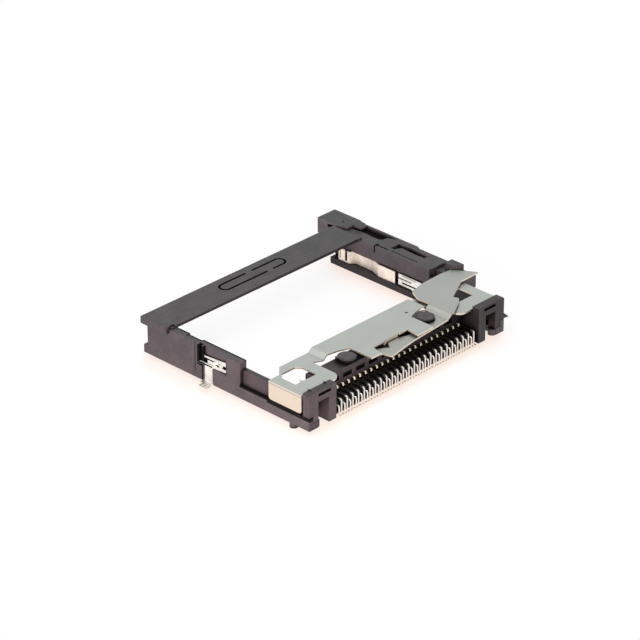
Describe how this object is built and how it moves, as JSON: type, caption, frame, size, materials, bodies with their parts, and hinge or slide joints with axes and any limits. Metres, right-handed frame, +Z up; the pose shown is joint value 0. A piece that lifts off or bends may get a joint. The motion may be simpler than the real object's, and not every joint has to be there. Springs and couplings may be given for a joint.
{
  "type": "compactflash card socket",
  "caption": "Surface-mount socket for a CompactFlash card: two rows of pins in a header, a guide frame, and a push-rod, lever and plate ejector.",
  "frame": {"origin": "on the board plane under the middle of the header", "axes": "+X along the contact rows, +Y towards the card's entry, +Z up from the board"},
  "size_m": [0.05, 0.0408, 0.0079],
  "materials": {
    "black_lcp": "fine matte moulded plastic",
    "black_lcp_header": "fine matte moulded plastic",
    "black_button": "fine matte moulded plastic",
    "black_rod": "fine matte moulded plastic",
    "steel_plate": "matte rolled stainless sheet",
    "steel_lever": "matte rolled stainless sheet",
    "tinned_clip": "bright tin",
    "tinned_spring": "bright tin",
    "gold_tin_contact": "gold at the mating end, tin at the tail"
  },
  "bodies": {
    "socket": {"guide_frame": "black_lcp", "header_housing": "black_lcp_header", "left_ground_clip": "tinned_clip", "right_ground_spring": "tinned_spring", "right_ground_clip": "tinned_spring", "contact_01": "gold_tin_contact", "contact_02": "gold_tin_contact", "contact_03": "gold_tin_contact", "contact_04": "gold_tin_contact", "contact_05": "gold_tin_contact", "contact_06": "gold_tin_contact", "contact_07": "gold_tin_contact", "contact_08": "gold_tin_contact", "contact_09": "gold_tin_contact", "contact_10": "gold_tin_contact", "contact_11": "gold_tin_contact", "contact_12": "gold_tin_contact", "contact_13": "gold_tin_contact", "contact_14": "gold_tin_contact", "contact_15": "gold_tin_contact", "contact_16": "gold_tin_contact", "contact_17": "gold_tin_contact", "contact_18": "gold_tin_contact", "contact_19": "gold_tin_contact", "contact_20": "gold_tin_contact", "contact_21": "gold_tin_contact", "contact_22": "gold_tin_contact", "contact_23": "gold_tin_contact", "contact_24": "gold_tin_contact", "contact_25": "gold_tin_contact", "contact_26": "gold_tin_contact", "contact_27": "gold_tin_contact", "contact_28": "gold_tin_contact", "contact_29": "gold_tin_contact", "contact_30": "gold_tin_contact", "contact_31": "gold_tin_contact", "contact_32": "gold_tin_contact", "contact_33": "gold_tin_contact", "contact_34": "gold_tin_contact", "contact_35": "gold_tin_contact", "contact_36": "gold_tin_contact", "contact_37": "gold_tin_contact", "contact_38": "gold_tin_contact", "contact_39": "gold_tin_contact", "contact_40": "gold_tin_contact", "contact_41": "gold_tin_contact", "contact_42": "gold_tin_contact", "contact_43": "gold_tin_contact", "contact_44": "gold_tin_contact", "contact_45": "gold_tin_contact", "contact_46": "gold_tin_contact", "contact_47": "gold_tin_contact", "contact_48": "gold_tin_contact", "contact_49": "gold_tin_contact", "contact_50": "gold_tin_contact"},
    "pusher": {"push_button": "black_button", "push_rod": "black_rod"},
    "lever": {"eject_lever": "steel_lever"},
    "plate": {"eject_plate": "steel_plate"}
  },
  "joints": [
    {"name": "button_slide", "type": "slide", "parent": "socket", "child": "pusher", "axis": [0, -1, 0], "range_m": [0, 0.0036]},
    {"name": "lever_pivot", "type": "hinge", "parent": "socket", "child": "lever", "pos_m": [0.00897, 0.00145, 0.0054], "axis": [0, 0, -1], "range_deg": [0, 17.95]},
    {"name": "plate_slide", "type": "slide", "parent": "socket", "child": "plate", "axis": [0, 1, 0], "range_m": [0, 0.00311]}
  ],
  "couplings": [
    {"joint": "lever_pivot", "follows": "button_slide", "rad_per_m": 87},
    {"joint": "plate_slide", "follows": "button_slide", "ratio": 0.86111}
  ]
}
